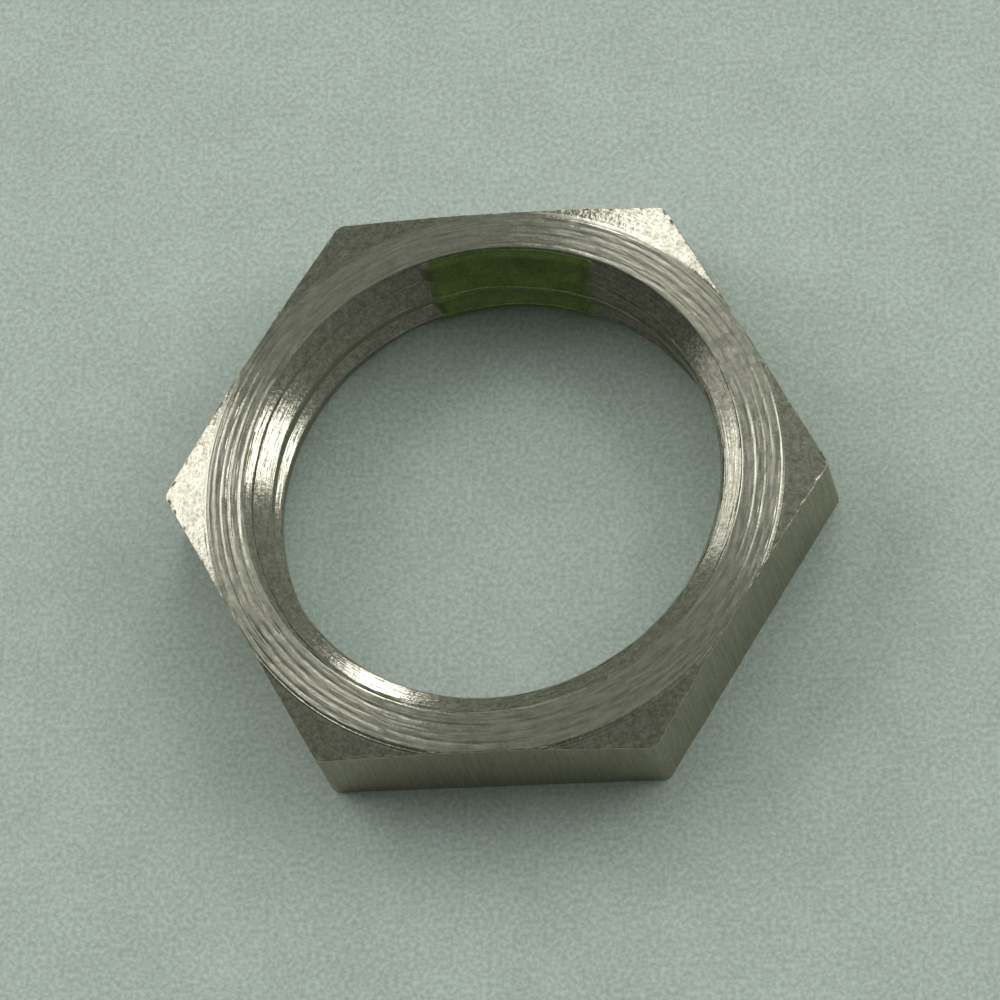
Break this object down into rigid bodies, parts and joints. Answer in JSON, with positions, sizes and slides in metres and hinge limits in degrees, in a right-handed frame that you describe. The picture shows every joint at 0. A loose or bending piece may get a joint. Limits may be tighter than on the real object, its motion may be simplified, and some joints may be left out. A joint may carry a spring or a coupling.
{
  "type": "thin hex lock nut",
  "caption": "Thin hexagonal lock nut with a fine right-hand internal thread, turned and corner-chamfered top face, and a cured thread-locking patch.",
  "frame": {"origin": "centre of the flat bearing face, on the axis of the thread", "axes": "+Z along the thread, from the bearing face to the turned face; two of the six corners lie on X, two of the flats face -Y and +Y"},
  "size_m": [0.016, 0.014, 0.0024],
  "materials": {
    "nickel_plated_brass": "satin",
    "locking_compound": "satin"
  },
  "bodies": {
    "root": {"nut_body": "nickel_plated_brass", "thread_locking_patch": "locking_compound"}
  },
  "joints": []
}
